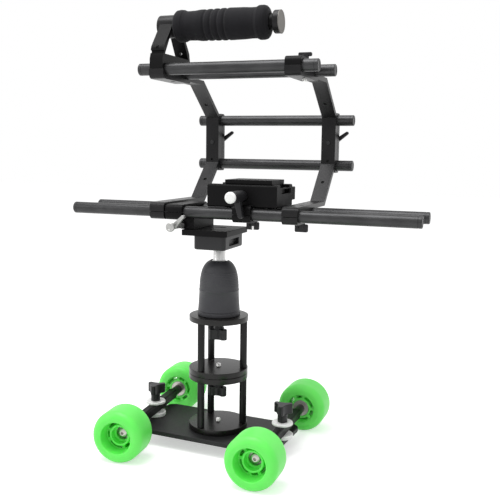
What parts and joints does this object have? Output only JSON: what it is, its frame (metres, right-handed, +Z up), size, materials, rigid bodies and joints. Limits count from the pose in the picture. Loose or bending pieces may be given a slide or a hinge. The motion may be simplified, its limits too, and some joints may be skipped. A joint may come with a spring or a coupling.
{
  "type": "camera skater dolly",
  "caption": "Table dolly on skate wheels with a two-tier riser, a ball head and a rod rig with C-shaped arms, a camera platform and a top handle.",
  "frame": {"origin": "centre of the footprint, on the floor under the wheels", "axes": "+X along the rods from the lens end to the operator end, +Z up, +Y towards the side with the C arms"},
  "size_m": [0.4612, 0.3035, 0.5663],
  "materials": {
    "deck_paint": "satin black powder coat",
    "black_anodised": "satin black anodised",
    "rod_black": "grey-black anodised tube",
    "moulded_black": "moulded black plastic",
    "head_shell": "fine textured black paint",
    "wheel_urethane": "cast green urethane",
    "white_nylon": "white nylon",
    "bright_steel": "bright steel",
    "grip_foam": "black foam rubber"
  },
  "bodies": {
    "base": {"deck_plate": "deck_paint", "deck_screw": "bright_steel", "riser_bottom_plate": "black_anodised", "riser_lower_mid_plate": "black_anodised", "riser_upper_mid_plate": "black_anodised", "riser_top_plate": "black_anodised", "lower_post_1": "black_anodised", "lower_post_2": "black_anodised", "lower_post_3": "black_anodised", "upper_post_1": "black_anodised", "upper_post_2": "black_anodised", "upper_post_3": "black_anodised"},
    "front_truck": {"front_truck_bar": "black_anodised", "front_pivot_washer": "white_nylon", "front_left_axle_bolt": "bright_steel", "front_right_axle_bolt": "bright_steel"},
    "front_knob": {"front_pivot_knob": "moulded_black"},
    "front_left_wheel_set": {"front_left_wheel": "wheel_urethane", "front_left_bearings": "bright_steel"},
    "front_right_wheel_set": {"front_right_wheel": "wheel_urethane", "front_right_bearings": "bright_steel"},
    "rear_truck": {"rear_truck_bar": "black_anodised", "rear_pivot_washer": "white_nylon", "rear_left_axle_bolt": "bright_steel", "rear_right_axle_bolt": "bright_steel"},
    "rear_knob": {"rear_pivot_knob": "moulded_black"},
    "rear_left_wheel_set": {"rear_left_wheel": "wheel_urethane", "rear_left_bearings": "bright_steel"},
    "rear_right_wheel_set": {"rear_right_wheel": "wheel_urethane", "rear_right_bearings": "bright_steel"},
    "middle_knob": {"riser_middle_knob": "moulded_black"},
    "top_knob": {"riser_top_knob": "moulded_black"},
    "head": {"head_housing": "head_shell"},
    "lock_knob": {"head_lock_knob": "moulded_black"},
    "ball": {"ball_and_stem": "bright_steel"},
    "rig": {"quick_clamp": "head_shell", "base_plate": "black_anodised", "rod_base": "black_anodised", "lower_rod_left": "rod_black", "lower_rod_right": "rod_black", "top_rod_left": "rod_black", "top_rod_right": "rod_black", "side_rod_upper": "rod_black", "side_rod_lower": "rod_black", "front_c_arm": "black_anodised", "rear_c_arm": "black_anodised", "rear_top_jaw": "black_anodised", "handle_bracket": "black_anodised", "handle_tube": "black_anodised", "foam_grip": "grip_foam"},
    "rear_wing_screw_part": {"rear_wing_screw": "moulded_black"},
    "top_wing_screw_part": {"top_wing_screw": "moulded_black"},
    "front_side_lever_part": {"front_side_lever": "moulded_black"},
    "rear_side_lever_part": {"rear_side_lever": "moulded_black"},
    "rod_base_lever_part": {"rod_base_lever": "bright_steel"},
    "platform": {"camera_platform": "black_anodised"},
    "plate": {"camera_plate": "black_anodised"},
    "latch": {"platform_latch": "black_anodised"},
    "platform_wing_screw_part": {"platform_wing_screw": "moulded_black"},
    "platform_lever_part": {"platform_lever": "moulded_black"}
  },
  "joints": [
    {"name": "front_truck_swivel", "type": "hinge", "parent": "base", "child": "front_truck", "pos_m": [-0.13029, -0.01519, 0.0335], "axis": [0, 0, 1], "range_deg": [-27.1, 12.9]},
    {"name": "front_pivot_knob_turn", "type": "hinge", "parent": "front_truck", "child": "front_knob", "pos_m": [-0.13029, -0.01519, 0.05], "axis": [0, 0, 1], "continuous": true},
    {"name": "front_left_wheel_spin", "type": "hinge", "parent": "front_truck", "child": "front_left_wheel_set", "pos_m": [-0.12441, -0.11702, 0.0335], "axis": [-0.0576, 0.9983, 0], "continuous": true},
    {"name": "front_right_wheel_spin", "type": "hinge", "parent": "front_truck", "child": "front_right_wheel_set", "pos_m": [-0.13616, 0.08664, 0.0335], "axis": [-0.0576, 0.9983, 0], "continuous": true},
    {"name": "rear_truck_swivel", "type": "hinge", "parent": "base", "child": "rear_truck", "pos_m": [0.0593, -0.02778, 0.0335], "axis": [0, 0, 1], "range_deg": [-23.4, 16.6]},
    {"name": "rear_pivot_knob_turn", "type": "hinge", "parent": "rear_truck", "child": "rear_knob", "pos_m": [0.0593, -0.02778, 0.05], "axis": [0, 0, 1], "continuous": true},
    {"name": "rear_left_wheel_spin", "type": "hinge", "parent": "rear_truck", "child": "rear_left_wheel_set", "pos_m": [0.05858, -0.12978, 0.0335], "axis": [0.007, 1, 0], "continuous": true},
    {"name": "rear_right_wheel_spin", "type": "hinge", "parent": "rear_truck", "child": "rear_right_wheel_set", "pos_m": [0.06001, 0.07422, 0.0335], "axis": [0.007, 1, 0], "continuous": true},
    {"name": "riser_middle_knob_turn", "type": "hinge", "parent": "base", "child": "middle_knob", "pos_m": [-0.0332, -0.02164, 0.08], "axis": [0, 0, 1], "continuous": true},
    {"name": "riser_top_knob_turn", "type": "hinge", "parent": "base", "child": "top_knob", "pos_m": [-0.0332, -0.02164, 0.155], "axis": [0, 0, 1], "continuous": true},
    {"name": "head_pan", "type": "hinge", "parent": "base", "child": "head", "pos_m": [-0.0332, -0.02164, 0.176], "axis": [0, 0, 1], "continuous": true},
    {"name": "lock_knob_turn", "type": "hinge", "parent": "head", "child": "lock_knob", "pos_m": [-0.0332, -0.02164, 0.202], "axis": [-0.342, 0.9397, 0], "range_deg": [-180, 180]},
    {"name": "ball_tilt", "type": "hinge", "parent": "head", "child": "ball", "pos_m": [-0.0332, -0.02164, 0.235], "axis": [1, 0, 0], "range_deg": [-40, 10]},
    {"name": "ball_turn", "type": "hinge", "parent": "ball", "child": "rig", "pos_m": [-0.0332, -0.02164, 0.2645], "axis": [0, 0, 1], "continuous": true},
    {"name": "rear_wing_screw_turn", "type": "hinge", "parent": "rig", "child": "rear_wing_screw_part", "pos_m": [0.0773, -0.02164, 0.3032], "axis": [0, 0, 1], "continuous": true},
    {"name": "top_wing_screw_turn", "type": "hinge", "parent": "rig", "child": "top_wing_screw_part", "pos_m": [0.0773, -0.02164, 0.492], "axis": [0, 0, 1], "continuous": true},
    {"name": "front_side_lever_turn", "type": "hinge", "parent": "rig", "child": "front_side_lever_part", "pos_m": [-0.1034, 0.11686, 0.4025], "axis": [0, 1, 0], "continuous": true},
    {"name": "rear_side_lever_turn", "type": "hinge", "parent": "rig", "child": "rear_side_lever_part", "pos_m": [0.0738, 0.11686, 0.4025], "axis": [0, 1, 0], "continuous": true},
    {"name": "rod_base_lever_turn", "type": "hinge", "parent": "rig", "child": "rod_base_lever_part", "pos_m": [-0.0707, -0.05664, 0.2954], "axis": [0, 1, 0], "range_deg": [-90, 60]},
    {"name": "platform_slide", "type": "slide", "parent": "rig", "child": "platform", "axis": [1, 0, 0], "range_m": [-0.024, 0.002]},
    {"name": "camera_plate_slide", "type": "slide", "parent": "platform", "child": "plate", "axis": [1, 0, 0], "range_m": [-0.017, 0.011]},
    {"name": "platform_latch_press", "type": "slide", "parent": "platform", "child": "latch", "axis": [0, 1, 0], "range_m": [-0.003, 0], "stiffness_N_per_m": 300, "springref_m": 0.001},
    {"name": "platform_wing_screw_turn", "type": "hinge", "parent": "platform", "child": "platform_wing_screw_part", "pos_m": [0.0128, -0.02164, 0.3032], "axis": [0, 0, 1], "continuous": true},
    {"name": "platform_lever_turn", "type": "hinge", "parent": "platform", "child": "platform_lever_part", "pos_m": [0.0093, -0.05364, 0.3346], "axis": [0, 1, 0], "range_deg": [-90, 90]}
  ]
}
